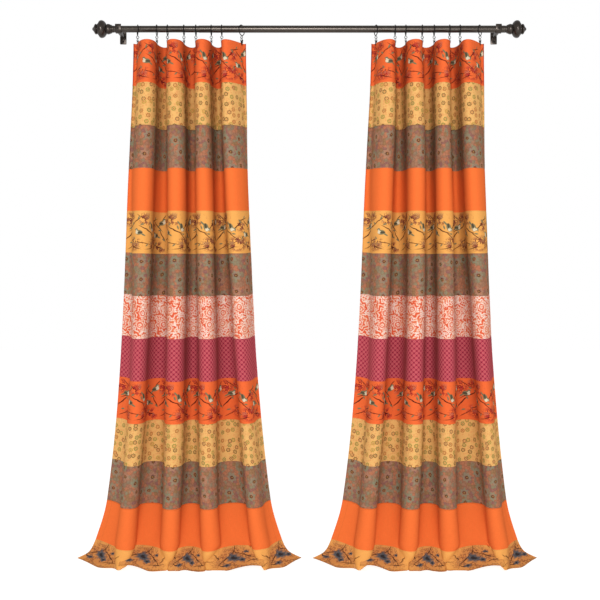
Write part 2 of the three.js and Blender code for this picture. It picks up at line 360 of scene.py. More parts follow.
def picked(tree, random, *colours):
    """One of the colours, by a random number."""
    ramp = tree.nodes.new("ShaderNodeValToRGB")
    ramp.color_ramp.interpolation = "CONSTANT"
    stops = ramp.color_ramp.elements
    while len(stops) < len(colours):
        stops.new(0.5)
    for k, colour in enumerate(colours):
        stops[k].position = k / len(colours)
        stops[k].color = srgb(colour)
    tree.links.new(random, ramp.inputs[0])
    return ramp.outputs[0]


def hand_drawn(tree, place, reach, size):
    """Shakes a pattern's coordinates, so that printed lines are crooked."""
    noise = node(tree, "ShaderNodeTexNoise", {
        "Vector": place, "Scale": 1 / (size * MM), "Detail": 2.0}, out="Color")
    centred = node(tree, "ShaderNodeVectorMath", {0: noise, 1: (0.5, 0.5, 0.5)},
                   operation="SUBTRACT")
    shift = node(tree, "ShaderNodeVectorMath", {0: centred, "Scale": reach * MM},
                 operation="SCALE")
    return node(tree, "ShaderNodeVectorMath", {0: place, 1: shift}, operation="ADD")


def repeat(tree, place, width, height):
    """Folds the coordinates into one repeat of the print, in metres."""
    return node(tree, "ShaderNodeVectorMath", {
        0: place, 1: (width, height, 1), 2: (0, 0, -1)}, operation="WRAP")


# One repeat of the branch print, in millimetres from its upper left corner:
# (x, y, half length, half thickness, turn in degrees)
PRINT_REPEAT = 330
BRANCHES = [
    (58, 66, 44, 2.4, -20), (112, 42, 30, 1.9, -32), (22, 96, 30, 2.6, -38), (140, 26, 24, 1.5, 30),
    (166, 76, 40, 2.2, 24), (206, 102, 24, 1.7, 40), (222, 62, 34, 2.1, -42), (256, 34, 26, 1.7, -12),
    (286, 58, 34, 2.2, 36), (314, 96, 28, 2.0, 60), (262, 98, 26, 1.6, -24), (150, 128, 32, 1.6, 10),
    (84, 116, 26, 1.5, -14), (112, 146, 30, 1.4, 12), (40, 24, 26, 1.4, 36), (318, 26, 24, 1.5, -50),
    (190, 148, 30, 1.4, -10), (286, 140, 34, 1.6, 16), (36, 142, 28, 1.5, -24), (84, 18, 20, 1.2, -56),
]
LEAVES = [
    (92, 50, 8, 3.2, 30), (126, 28, 8, 3, -60), (44, 80, 7, 2.8, 60), (142, 54, 8, 3.2, -20),
    (180, 66, 8, 3.2, 70), (208, 92, 7, 2.8, 10), (236, 42, 8, 3.2, 50), (264, 26, 7, 2.8, -50),
    (300, 74, 8, 3.2, 0), (320, 112, 7, 2.8, 40), (246, 108, 8, 3.2, 60), (166, 136, 7, 2.8, -40),
    (60, 40, 8, 3, 16), (104, 108, 7, 2.8, 50), (26, 128, 8, 3, -10), (278, 128, 7, 2.8, -30),
]
# (x, y, facing: 1 right or -1 left, turn)
BIRDS = [(42, 62, 1, -10), (128, 86, -1, 14), (198, 66, 1, 62), (274, 96, -1, 4), (312, 44, 1, -24)]
BLOSSOM_BEDS = [(92, 132, 46, 24, 0), (14, 36, 32, 24, 20), (226, 130, 42, 26, -8),
                (160, 34, 32, 22, 0), (300, 142, 30, 20, 10), (74, 22, 24, 16, 0),
                (244, 62, 22, 20, 0)]


def bird_masks(tree, tile, x, y, facing, turn):
    """Body, belly and wing of one perched bird, each as a list of ellipses."""
    spin = math.radians(turn)

    def part(along, up, a, b, extra=0):
        px = x + facing * along * math.cos(spin) + up * math.sin(spin)
        py = y + facing * along * math.sin(spin) - up * math.cos(spin)
        return ellipse(tree, tile, (px, py), (a, b), turn + facing * extra, 0.14)

    body = [part(0, 0, 16, 9.5, 12), part(13, 7.5, 6.6, 6), part(-19, -3.5, 13, 3.2, -14),
            part(20.5, 7.5, 3.4, 1.4)]
    belly = [part(8.5, -1.8, 7.6, 6.2, 20), part(13, 5.6, 4, 2.6)]
    wing = [part(-6, 1, 11, 4, 16), part(14.5, 9, 1.5, 1.5)]
    return body, belly, wing


def branch_print(tree, place, ground, twig, feather, breast, blossoms):
    """Crooked branches with leaves, blossoms and perched birds, printed on a plain ground."""
    tile = repeat(tree, place, PRINT_REPEAT * MM, BAND)
    drawn = hand_drawn(tree, tile, 9, 26)
    colour = srgb(ground)
    # beds of small five-petalled blossoms, about 15 mm apart
    bed = together(tree, [ellipse(tree, drawn, (x, y), (a, b), turn, 0.35)
                          for x, y, a, b, turn in BLOSSOM_BEDS])
    petalled, distance, _, random, second = scatter(tree, drawn, 15, lobes=0.34)
    petal = below(tree, petalled, 0.4, 0.5)
    edge = band_of(petalled, 0.31, 0.5, 0.05, tree)
    heart = below(tree, distance, 0.1, 0.17)
    shown = combine(tree, bed, combine(tree, random, 0.24, "GREATER_THAN"), "MULTIPLY")
    colour = paint(tree, colour, combine(tree, petal, shown, "MULTIPLY"),
                   picked(tree, second, *blossoms[:3]))
    colour = paint(tree, colour, combine(tree, combine(tree, edge, heart), shown, "MULTIPLY"),
                   blossoms[3])
    twigs = [ellipse(tree, drawn, (x, y), (a, b), turn, 0.3) for x, y, a, b, turn in BRANCHES]
    colour = paint(tree, colour, together(tree, twigs), twig)
    leaves = [ellipse(tree, tile, (x, y), (a, b), turn, 0.3) for x, y, a, b, turn in LEAVES]
    colour = paint(tree, colour, together(tree, leaves), feather)
    birds = [bird_masks(tree, tile, *bird) for bird in BIRDS]
    for part, tone in enumerate((feather, breast, "#5A5040")):
        masks = [mask for bird in birds for mask in bird[part]]
        colour = paint(tree, colour, together(tree, masks), tone)
    return colour


def ring_flower_print(tree, place):
    """Small open rings and petals in olive, brown and orange on a warm yellow ground."""
    drawn = hand_drawn(tree, place, 2.5, 10)
    petalled, distance, _, random, second = scatter(tree, drawn, 27, petals=7, jitter=0.75,
                                                        lobes=0.12)
    colour = srgb("#F4BC72")
    small, _, _, small_r, _ = scatter(tree, drawn, 9, petals=4, lobes=0.3)
    speck = band_of(small, 0.16, 0.3, 0.05, tree)
    keep = combine(tree, small_r, 0.45, "GREATER_THAN")
    colour = paint(tree, colour, combine(tree, speck, keep, "MULTIPLY"), "#E9985C")
    hoop = band_of(petalled, 0.17, 0.3, 0.04, tree)
    colour = paint(tree, colour, hoop, picked(tree, random, "#9A9246", "#7E6238", "#B8743E",
                                              "#8A8A48", "#946640", "#C09A48"))
    heart = below(tree, distance, 0.05, 0.1)
    return paint(tree, colour, heart, picked(tree, second, "#B5583A", "#7C6A42", "#D98A4A"))


def paisley_print(tree, place):
    """Dense blurred blooms in mauve, sage, salmon and brown, with a dark eye in some of them."""
    drawn = hand_drawn(tree, place, 9, 14)
    blobs, _, _, random, _ = scatter(tree, drawn, 13, petals=5, jitter=1.0, lobes=0.2)
    colour = picked(tree, random, "#A4745C", "#918068", "#BC7658", "#9A7652", "#A87E64", "#966660",
                    "#C07C5C", "#908A6E")
    soft = node(tree, "ShaderNodeTexNoise", {"Vector": drawn, "Scale": 1 / 0.009, "Detail": 3.0})
    tone = node(tree, "ShaderNodeMapRange", {"Value": soft, "From Min": 0.35, "From Max": 0.65})
    colour = paint(tree, colour, combine(tree, tone, 0.45, "MULTIPLY"), "#AE7C60")
    edge = band_of(blobs, 0.42, 0.6, 0.09, tree)
    colour = paint(tree, colour, combine(tree, edge, 0.5, "MULTIPLY"), "#7C5440")
    petalled, distance, _, random, _ = scatter(tree, drawn, 62, petals=7, jitter=0.45,
                                                        lobes=0.18)
    leafy = band_of(petalled, 0.16, 0.26, 0.04, tree)
    colour = paint(tree, colour, leafy, picked(tree, random, "#8E8E74", "#B4866C", "#988C74"))
    heart = below(tree, distance, 0.06, 0.1)
    colour = paint(tree, colour, heart, "#A8774C")
    return paint(tree, colour, band_of(distance, 0.06, 0.1, 0.02, tree), "#45291F")


def scroll_print(tree, place):
    """Cream rosettes, curls and leaf shapes packed closely on coral."""
    drawn = hand_drawn(tree, place, 8, 20)
    petalled, distance, angle, _, _ = scatter(tree, drawn, 66, petals=8, jitter=0.5,
                                                        lobes=0.14)
    # two-armed scrolls round each rosette, their arms 15 mm apart
    winding = node(tree, "ShaderNodeMath", {
        0: petalled, 1: 27.0, 2: combine(tree, angle, 2.0, "MULTIPLY")}, operation="MULTIPLY_ADD")
    arms = node(tree, "ShaderNodeMath", {0: winding}, operation="SINE")
    lines = node(tree, "ShaderNodeMapRange", {"Value": arms, "From Min": 0.0, "From Max": 0.4})
    small, _, _, small_r, small_s = scatter(tree, drawn, 19, petals=5, lobes=0.34)
    curls = band_of(small, 0.2, 0.4, 0.05, tree)
    some = combine(tree, small_r, 0.35, "GREATER_THAN")
    cream = combine(tree, combine(tree, curls, some, "MULTIPLY"), lines)
    clear = node(tree, "ShaderNodeMapRange", {"Value": distance, "From Min": 0.27, "From Max": 0.31})
    rosette = combine(tree, band_of(distance, 0.18, 0.26, 0.02, tree),
                   band_of(petalled, 0.03, 0.11, 0.02, tree))
    cream = combine(tree, combine(tree, cream, clear, "MULTIPLY"), rosette)
    gap = band_of(small, 0.44, 0.56, 0.05, tree)
    cream = combine(tree, cream, node(tree, "ShaderNodeMath", {0: 1.0, 1: gap},
                                   operation="SUBTRACT"), "MULTIPLY")
    ground = paint(tree, "#EC6340", node(tree, "ShaderNodeMapRange", {
        "Value": small_s, "From Min": 0.5, "From Max": 0.9}), "#F0845C")
    return paint(tree, ground, cream, picked(tree, small_r, "#FFD6BE", "#FFE6D6", "#FFDCC8"))


LATTICE_PITCH = 0.0132  # metres


def lattice_print(tree, place):
    """A fine diamond lattice: dark dots at its crossings, light rings in its meshes."""
    turned_place = node(tree, "ShaderNodeMapping", {
        "Vector": place, "Rotation": (0, 0, math.radians(45)),
        "Scale": (1 / LATTICE_PITCH, 1 / LATTICE_PITCH, 1)})
    mesh = node(tree, "ShaderNodeVectorMath", {0: turned_place}, operation="FRACTION")
    local = node(tree, "ShaderNodeVectorMath", {0: mesh, 1: (0.5, 0.5, 0)}, operation="SUBTRACT")
    flat = node(tree, "ShaderNodeVectorMath", {0: local, 1: (1, 1, 0)}, operation="MULTIPLY")
    reach = node(tree, "ShaderNodeVectorMath", {0: flat}, out="Value", operation="LENGTH")
    ring = band_of(reach, 0.17, 0.28, 0.04, tree)
    dot = node(tree, "ShaderNodeMapRange", {"Value": reach, "From Min": 0.5, "From Max": 0.6})
    centre = below(tree, reach, 0.06, 0.1)
    colour = paint(tree, "#BE4A58", ring, "#E27C7C")
    colour = paint(tree, colour, centre, "#A83C48")
    return paint(tree, colour, dot, "#82243A")


STITCH_PITCH, STITCH_LENGTH = 0.004, 0.003
SIDE_HEM = 0.025  # from a side edge to its row of stitches


def stitch_dashes(tree, along):
    """1 on each stitch of a row, by the place along it."""
    return combine(tree, combine(tree, along, STITCH_PITCH, "MODULO"), STITCH_LENGTH, "LESS_THAN")


def cotton(name, pattern):
    """Printed plain-weave cotton blend: matt with a faint sheen, the weave just felt in the gloss,
    the print paler on the reverse, seams and hems stitched in matching thread."""
    material, tree, shader = start_material(name)
    place = node(tree, "ShaderNodeUVMap", uv_map="flat_metres")
    colour = pattern(tree, place)
    if isinstance(colour, tuple):
        colour = paint(tree, colour, 0.0, colour)
    # yarn slubs: streaks 1.5 mm wide and 20 mm long, both ways
    slub = None
    for stretch in ((1 / 0.0015, 1 / 0.02, 1), (1 / 0.02, 1 / 0.0015, 1)):
        streak = node(tree, "ShaderNodeTexNoise", {
            "Vector": node(tree, "ShaderNodeMapping", {"Vector": place, "Scale": stretch}),
            "Scale": 1.0, "Detail": 2.0})
        slub = streak if slub is None else combine(tree, slub, streak, "ADD")
    dye = node(tree, "ShaderNodeMapRange", {
        "Value": slub, "From Min": 0.7, "From Max": 1.3, "To Min": 0.58, "To Max": 0.64})
    colour = node(tree, "ShaderNodeVectorMath", {0: colour, "Scale": dye}, operation="SCALE")
    # the reverse shows the print through the cloth
    reverse = node(tree, "ShaderNodeAttribute", out="Fac", attribute_name="reverse_side")
    faded = combine(tree, reverse, 0.38, "MULTIPLY")
    colour = paint(tree, colour, faded, "#F3D9C2")
    # stitches 3 mm long, 4 mm apart, one row under each seam and along the side hems
    xyz = tree.nodes.new("ShaderNodeSeparateXYZ")
    tree.links.new(place, xyz.inputs[0])
    across, down = xyz.outputs[0], xyz.outputs[1]
    under_seam = combine(tree, down, BAND, "MODULO")
    rows = band_of(under_seam, 0.0023, 0.0031, 0.0002, tree)
    stitches = combine(tree, rows, stitch_dashes(tree, across), "MULTIPLY")
    from_middle = node(tree, "ShaderNodeMath", {
        0: combine(tree, across, CLOTH_WIDTH / 2, "SUBTRACT")}, operation="ABSOLUTE")
    side_row = CLOTH_WIDTH / 2 - SIDE_HEM
    side_rows = band_of(from_middle, side_row - 0.0004, side_row + 0.0004, 0.0002, tree)
    stitches = combine(tree, stitches,
                       combine(tree, side_rows, stitch_dashes(tree, down), "MULTIPLY"))
    thread = combine(tree, stitches, 0.45, "MULTIPLY")
    colour = paint(tree, colour, thread, "#5A2C1C")
    # weave: 0.4 mm yarns drawn 1.2 mm apart, so that they show
    wave = [node(tree, "ShaderNodeMath", {
        0: node(tree, "ShaderNodeMath", {0: way, 1: 2 * math.pi / 0.0012}, operation="MULTIPLY")},
        operation="SINE") for way in (across, down)]
    weave = combine(tree, *wave, "MULTIPLY")
    height = node(tree, "ShaderNodeMath", {0: slub, 1: 0.6, 2: weave}, operation="MULTIPLY_ADD")
    height = node(tree, "ShaderNodeMath", {0: stitches, 1: 2.0, 2: height},
                  operation="MULTIPLY_ADD")
    bump = node(tree, "ShaderNodeBump", {"Height": height, "Strength": 0.35, "Distance": 0.00012})
    connect(tree, shader, colour=colour, normal=bump)
    shader.inputs["Roughness"].default_value = 0.86
    shader.inputs["Specular IOR Level"].default_value = 0.0
    shader.inputs["Sheen Tint"].default_value = srgb("#F2A06A")
    shader.inputs["Sheen Weight"].default_value = 0.03
    shader.inputs["Sheen Roughness"].default_value = 0.5
    return material


def bird_cotton(tree, place):
    return branch_print(tree, place, "#FA713C", "#5E241C", "#807A5A", "#EBD9B8",
                        ("#E2563E", "#C8443E", "#EC8060", "#7E2422"))


def yellow_bird_cotton(tree, place):
    return branch_print(tree, place, "#FBB25E", "#5A3424", "#86805E", "#F0DDB8",
                        ("#C77E54", "#A85E48", "#DDA06A", "#6A342C"))


def bloom(tree, place, x, y, radius, petals, turn=0.0, soft=0.3):
    """1 inside a petalled flower round (x, y), in millimetres."""
    local = node(tree, "ShaderNodeMapping", {
        "Vector": place, "Location": (x * MM, y * MM, 0), "Rotation": (0, 0, turn),
        "Scale": (radius * MM, radius * MM, 1)}, vector_type="TEXTURE")
    xyz = tree.nodes.new("ShaderNodeSeparateXYZ")
    tree.links.new(local, xyz.inputs[0])
    angle = node(tree, "ShaderNodeMath", {0: xyz.outputs[1], 1: xyz.outputs[0]},
                 operation="ARCTAN2")
    wave = node(tree, "ShaderNodeMath", {
        0: combine(tree, angle, float(petals), "MULTIPLY")},
        operation="COSINE")
    swell = node(tree, "ShaderNodeMath", {0: wave, 1: -0.15, 2: 1.0}, operation="MULTIPLY_ADD")
    reach = node(tree, "ShaderNodeVectorMath", {0: local}, out="Value", operation="LENGTH")
    return node(tree, "ShaderNodeMapRange", {
        "Value": combine(tree, reach, swell, "MULTIPLY"), "From Min": 1 - soft, "From Max": 1 + soft,
        "To Min": 1.0, "To Max": 0.0})


SPRAY_REPEAT = 310
SPRAY_TWIGS = [
    (24, 52, 44, 2, -38), (84, 46, 42, 2, 36), (58, 22, 26, 1.5, -70), (104, 72, 30, 1.6, -22),
    (6, 74, 30, 1.6, 24), (292, 40, 34, 1.8, 30), (140, 44, 30, 1.4, -30), (262, 66, 26, 1.3, -14),
]
# (x, y, radius, petals): slate-blue flowers of each spray
SPRAY_BLOOMS = [(50, 52, 17, 7), (68, 66, 10, 5), (24, 80, 8, 6), (92, 30, 7, 5)]


def blue_flower_cotton(tree, place):
    """Sprays of slate-blue flowers and brown twigs, 310 mm apart, on warm yellow."""
    tile = repeat(tree, place, SPRAY_REPEAT * MM, BAND)
    drawn = hand_drawn(tree, hand_drawn(tree, tile, 26, 50), 7, 9)
    spray = combine(tree, ellipse(tree, drawn, (52, 56), (72, 58), 0, 0.4),
                 ellipse(tree, drawn, (52 + SPRAY_REPEAT, 56), (72, 58), 0, 0.4))
    colour = paint(tree, "#FFB25E", spray, "#DC9050")
    petalled, _, _, random, second = scatter(tree, drawn, 15, lobes=0.34)
    edge = band_of(petalled, 0.22, 0.4, 0.09, tree)
    some = combine(tree, random, 0.35, "GREATER_THAN")
    colour = paint(tree, colour, combine(tree, combine(tree, edge, spray, "MULTIPLY"), some, "MULTIPLY"),
                   picked(tree, second, "#7E4432", "#9A5A3C", "#6E5044"))
    for x, y, a, b, turn in SPRAY_TWIGS:
        colour = paint(tree, colour, ellipse(tree, drawn, (x, y), (a, b), turn, 0.3), "#5A3424")
    for x, y, radius, petals in SPRAY_BLOOMS:
        flower = bloom(tree, drawn, x, y, radius, petals)
        heart = bloom(tree, drawn, x, y, radius * 0.4, petals, 0.6)
        colour = paint(tree, colour, flower, "#5A5A5E")
        colour = paint(tree, colour, heart, "#3C3434")
    return colour


def plain_cotton(tree, place):
    return srgb("#FF7A3C")


PRINTS = {
    "orange_birds": bird_cotton,
    "yellow_rings": ring_flower_print,
    "taupe_blooms": paisley_print,
    "plain_orange": plain_cotton,
    "yellow_birds": yellow_bird_cotton,
    "coral_scrolls": scroll_print,
    "berry_lattice": lattice_print,
    "yellow_blue_flowers": blue_flower_cotton,
}
# Bands from the top; the hem leaves six tenths of the last one
BAND_PRINTS = [
    "orange_birds", "yellow_rings", "taupe_blooms", "plain_orange", "yellow_birds",
    "taupe_blooms", "coral_scrolls", "berry_lattice", "orange_birds", "yellow_rings",
    "taupe_blooms", "plain_orange", "yellow_blue_flowers",
]


def cotton_materials():
    for key, pattern in PRINTS.items():
        if key not in MATERIALS:
            MATERIALS[key] = cotton("printed_cotton_" + key, pattern)
    return [MATERIALS[key] for key in PRINTS]


# ---- the hung sheet ----

# Sideways drift of edge, clip lines and edge from the top, in mm, at shares of the drop
DRIFT_SHARES = [0, 0.28, 0.61, 0.87, 0.95, 0.98, 1]
DRIFT = [
    [0, 0, 0, 0, 0, 0, 0, 0, 0, 0],
    [-26, -22, -10, 4, 9, 3, 7, 17, 22, 11],
    [-59, -30, -35, 0, 4, 12, 22, 59, 47, 42],
    [-114, -67, -73, -18, -11, 15, 27, 94, 88, 97],
    [-160, -88, -84, -30, -14, 19, 40, 110, 116, 142],
    [-190, -98, -89, -36, -15, 20, 47, 118, 130, 174],
    [-238, -103, -92, -39, -15, 21, 51, 122, 138, 224],
]
CLIP_TURN = [15, 0, 0, 0, 0, 0, 0, -28]
EDGE_TOP = [(-18, 6), (17, 6)]
EDGE_BACK = 52
EDGE_PULL = 30
SLACK = 0.001  # share of the drop that fine creases take up
EDGE_SLACK = 0.006  # and what the side hems take up more
HEM_FOLD_SHIFT = [-12, 0, -22, 8]  # where each front fold runs out at the hem, in mm
HEM_Y, HEM_TUCK, HEM_LOBE = -54, 50, 4  # depth of the hem, of its tucked folds and of its lobes
CLOTH_GRIP = 7.5  # mm of cloth between a clip's jaws
FLOOR_GAP = 0.6
DEPTH_LOSS = 0.16  # share of the folds' depth that is gone at the hem
HEM_PHASE_ROW = -30  # row whose depth tells front folds from recesses
# Distances down the cloth, in mm: where each change starts, and how far it takes
CRUMPLE_START = 1980
SIDEWAYS_START, SIDEWAYS_RUN = 2012, 92
FRONT_START, FRONT_RUN = 2035, 40
BACK_RUNS = [(0.3, 1800, 120), (0.7, 1990, 60)]  # the first value is a share
LEAST_FALL = 0.6  # the least share of its length that the cloth drops
FLOOR_RUN = 0.7  # share of the cloth left over that runs along the floor
COLUMNS = 168
ROWS_PER_BAND = 20


def drift_at(share):
    """Sideways drift of the ten fold lines at a share of the drop, along smooth curves."""
    s, d = np.array(DRIFT_SHARES), np.array(DRIFT, float)
    slope = np.zeros_like(d)
    for k in range(1, len(s)):
        a, b = max(k - 1, 0), min(k + 1, len(s) - 1)
        slope[k] = (d[b] - d[a]) / (s[b] - s[a])
    k = int(np.clip(np.searchsorted(s, share), 1, len(s) - 1))
    w = s[k] - s[k - 1]
    t = (share - s[k - 1]) / w
    return ((2 * t ** 3 - 3 * t * t + 1) * d[k - 1] + (t ** 3 - 2 * t * t + t) * w * slope[k - 1]
            + (3 * t * t - 2 * t ** 3) * d[k] + (t ** 3 - t * t) * w * slope[k])


CURVE_POINTS = 28


def bezier(a, b, c, d):
    t = np.linspace(0, 1, CURVE_POINTS)[:, None]
    return a * (1 - t) ** 3 + 3 * b * t * (1 - t) ** 2 + 3 * c * t * t * (1 - t) + d * t ** 3


def eased(t):
    t = np.clip(t, 0, 1)
    return t * t * (3 - 2 * t)


def fold_lines(share):
    """Where the eight clip lines stand at a share of the drop, in mm."""
    return np.array(CLIP_X) / MM + drift_at(share)[1:-1]


def fold_path(share, reach):
    """The cloth seen from above, in mm: loops forward and back between the clip lines."""
    drift = drift_at(share)
    xs = fold_lines(share)
    at = [np.array([x, 0.0]) for x in xs]
    turns = np.radians(np.array(CLIP_TURN) * (1 - share))
    back = [np.array([-math.sin(t), math.cos(t)]) for t in turns]
    edge_y = EDGE_TOP[0][1] + EDGE_BACK * share
    ends = [np.array([CLIP_X[0] / MM + EDGE_TOP[0][0] + drift[0], edge_y]),
            np.array([CLIP_X[-1] / MM + EDGE_TOP[1][0] + drift[-1], edge_y])]
    pieces = [bezier(ends[0], ends[0], at[0] + back[0] * EDGE_PULL, at[0])]
    wider = 0.12 * reach * (1 - share) * eased(share / 0.1)
    for i in range(len(at) - 1):
        sign = 1 if i % 2 else -1
        # a front loop is a little wider than the gap between its clips
        belly = np.array([wider, 0.0]) if sign < 0 else np.zeros(2)
        pieces.append(bezier(at[i], at[i] + back[i] * sign * reach - belly,
                             at[i + 1] + back[i + 1] * sign * reach + belly, at[i + 1])[1:])
    pieces.append(bezier(at[-1], at[-1] + back[-1] * EDGE_PULL, ends[1], ends[1])[1:])
    return np.concatenate(pieces)


def path_length(path):
    return np.linalg.norm(np.diff(path, axis=0), axis=1)


def path_at(share, width):
    """The fold path whose length is the cloth's width, and the length run at each point."""
    low, high = 0.0, 200.0
    for _ in range(18):
        reach = (low + high) / 2
        if path_length(fold_path(share, reach)).sum() < width:
            low = reach
        else:
            high = reach
    path = fold_path(share, low)
    return path, np.concatenate([[0], np.cumsum(path_length(path))])


def even_row(share, width, count):
    """count points evenly along the cloth's path, whose folds take up its whole width."""
    path, run = path_at(share, width)
    where = np.linspace(0, run[-1], count)
    return np.stack([np.interp(where, run, path[:, k]) for k in (0, 1)], axis=1)


def hem_row(width, last):
    """Where the hem's points come to lie, in mm: the front folds run out behind lobes that the
    recesses between them spread forward."""
    path, run = path_at(1, width)
    step = CURVE_POINTS - 1
    marks = run[step::step][:8] / run[-1] * (len(last) - 1)
    middle = fold_lines(1).reshape(-1, 2).mean(axis=1) + np.array(HEM_FOLD_SHIFT)
    ends = (np.repeat(middle, 2) + np.tile([-1, 1], 4))
    column = np.arange(len(last))
    knots = [0, *marks, len(last) - 1]
    x = np.interp(column, knots, [last[0, 0], *ends, last[-1, 0]])
    y = np.interp(column, knots, [last[0, 1], *[HEM_Y] * 8, last[-1, 1]])
    for k in range(1, 8):
        t = np.clip((column - knots[k]) / (knots[k + 1] - knots[k]), 0, 1)
        y += np.sin(np.pi * t) * (HEM_TUCK if k % 2 else -HEM_LOBE)
    return x, y


def smooth_noise(shape, cells, seed):
    """A smooth field between -1 and 1, with cells[0] x cells[1] bumps."""
    random = np.random.default_rng(seed)
    grid = random.uniform(-1, 1, (cells[0] + 3, cells[1] + 3))

    def along(count, n):
        t = np.linspace(0, n, count)
        k = np.minimum(t.astype(int), n - 1)
        f = t - k
        return k, np.stack([(1 - f) ** 3 / 6, (3 * f ** 3 - 6 * f * f + 4) / 6,
                            (-3 * f ** 3 + 3 * f * f + 3 * f + 1) / 6, f ** 3 / 6])

    kr, wr = along(shape[0], cells[0])
    kc, wc = along(shape[1], cells[1])
    out = np.zeros(shape)
    for i in range(4):
        for j in range(4):
            out += wr[i][:, None] * wc[j][None, :] * grid[np.ix_(kr + i, kc + j)]
    return out * 1.6


def surface_normals(points):
    """Unit normals of a grid of points."""
    normal = np.cross(np.gradient(points, axis=0), np.gradient(points, axis=1))
    return normal / (np.linalg.norm(normal, axis=2, keepdims=True) + 1e-12)


def sheet_grid(settings):
    """Points of the left panel's middle surface, in metres, as rows from the top."""
    width, length = settings.width / MM, settings.length / MM
    rows = round(BANDS * ROWS_PER_BAND) + 1
    down = np.linspace(0, length, rows)
    top = JAW_TIP_Z / MM + CLOTH_GRIP
    floor = FLOOR_Z / MM + FLOOR_GAP
    share = down / length
    hem = eased((down - CRUMPLE_START) / (length - CRUMPLE_START))
    flat = np.array([even_row(s, width, COLUMNS + 1) for s in share])
    flat[..., 1] *= 1 - DEPTH_LOSS * share[:, None] ** 2
    along = np.linspace(0, 1, COLUMNS + 1)[None, :]
    inside = eased(np.minimum(along, 1 - along) / 0.07)
    phase = eased((flat[HEM_PHASE_ROW, :, 1] + 40) / 80)[None, :]
    hem_x, hem_y = hem_row(width, flat[-1])
    drawn = np.clip((down - SIDEWAYS_START) / SIDEWAYS_RUN, 0, 1)[:, None]
    front_ramp = np.cumsum(eased((down - FRONT_START) / FRONT_RUN))
    back_ramp = np.cumsum(sum(part * eased((down - start) / run) for part, start, run in BACK_RUNS))
    ramp = (front_ramp / front_ramp[-1])[:, None] * (1 - phase)
    ramp = ramp + (back_ramp / back_ramp[-1])[:, None] * phase
    x = flat[..., 0] + (hem_x - flat[-1, :, 0]) * drawn ** 1.2
    y = flat[..., 1] + (hem_y - flat[..., 1]) * ramp
    # every thread keeps its length, so where the cloth flares its seams rise
    steps = np.diff(down)[:, None]
    kept = 1 - SLACK - EDGE_SLACK * (1 - inside)
    sideways = np.hypot(np.diff(x, axis=0), np.diff(y, axis=0))
    fall = np.sqrt(np.maximum((steps * kept) ** 2 - sideways ** 2, (LEAST_FALL * steps) ** 2))
    z = top - np.concatenate([np.zeros((1, COLUMNS + 1)), np.cumsum(fall, axis=0)])
    # what is left over lies on the floor: recesses run forward, front folds run back
    left_over = np.clip(floor - z, 0, None)
    y = y - left_over * FLOOR_RUN * (2 * phase - 1) * inside
    z = np.maximum(z, floor)
    ripple = smooth_noise(z.shape, (3, 50), 31) * 2.5 + 2.5
    z = z + ripple * np.clip(left_over / 12, 0, 1)
    points = np.stack([x, y + ROD_Y / MM, z], axis=-1)
    normal = surface_normals(points)
    # soft irregular folds and creases, none of them where the clips hold the cloth
    free = np.clip((down - 14) / 120, 0, 1)[:, None] ** 1.5
    shape = points.shape[:2]
    sway = smooth_noise(shape, (7, 16), 3) * 3.6 + smooth_noise(shape, (12, 34), 5) * 1.6
    crease = smooth_noise(shape, (34, 60), 8) * 0.45
    crumple = smooth_noise(shape, (60, 40), 12) * 4.0 * hem[:, None]
    points += normal * ((sway + crease + crumple) * free)[..., None]
    # seams draw the cloth in a little
    from_seam = np.abs((down + BAND / MM / 2) % (BAND / MM) - BAND / MM / 2)[:, None]
    pucker = np.exp(-(from_seam / 5.0) ** 2) * (0.5 + 0.5 * smooth_noise(shape, (12, 120), 21))
    points -= normal * (pucker * 0.9 * free)[..., None]
    points[..., 2] = np.maximum(points[..., 2], floor)
    return points * MM, down * MM


def two_sided(points, thickness):
    """The front and the back of a sheet around a grid of points."""
    offset = surface_normals(points) * thickness / 2
    return np.stack([points + offset, points - offset])


def sheet_object(name, grid, first, last, down, width, shift, materials):
    """Rows first..last of a two-sided grid as one closed mesh, with the flat cloth's UV map."""
    part = grid[:, first:last + 1] + np.array([shift, 0, 0])
    _, rows, columns, _ = part.shape
    index = np.arange(2 * rows * columns).reshape(2, rows, columns)
    front, back = index[0], index[1]

    def quads(a):
        return np.stack([a[:-1, :-1], a[1:, :-1], a[1:, 1:], a[:-1, 1:]], axis=-1).reshape(-1, 4)

    def strip(a, b):
        return np.stack([a[:-1], a[1:], b[1:], b[:-1]], axis=-1).reshape(-1, 4)

    faces = [quads(front), quads(back)[:, ::-1],
             strip(front[0], back[0])[:, ::-1], strip(front[-1], back[-1]),
             strip(front[:, 0], back[:, 0]), strip(front[:, -1], back[:, -1])[:, ::-1]]
    count = [len(f) for f in faces]
    faces = np.concatenate(faces)
    mesh = bpy.data.meshes.new(name)
    mesh.from_pydata(part.reshape(-1, 3), [], faces.tolist())
    across = np.linspace(0, width, columns)
    uv = np.zeros((2, rows, columns, 2))
    uv[..., 0] = across[None, None, :]
    uv[..., 1] = down[first:last + 1][None, :, None]
    layer = mesh.uv_layers.new(name="flat_metres")
    layer.data.foreach_set("uv", uv.reshape(-1, 2)[faces.ravel()].ravel())
    side = mesh.attributes.new("reverse_side", "FLOAT", "FACE")
    values = np.zeros(len(faces), np.float32)
    values[count[0]:count[0] + count[1]] = 1
    side.data.foreach_set("value", values)
    for material in materials:
        mesh.materials.append(material)
    order = list(PRINTS)
    middle_v = uv.reshape(-1, 2)[faces].mean(axis=1)[:, 1]
    band = np.clip((middle_v / BAND).astype(int), 0, len(BAND_PRINTS) - 1)
    slots = np.array([order.index(BAND_PRINTS[b]) for b in band], np.int32)
    mesh.polygons.foreach_set("material_index", slots)
    mesh.update()
    mesh.shade_smooth()
    mesh.validate()
    return make_object(name, mesh, None)


# ---- operators ----


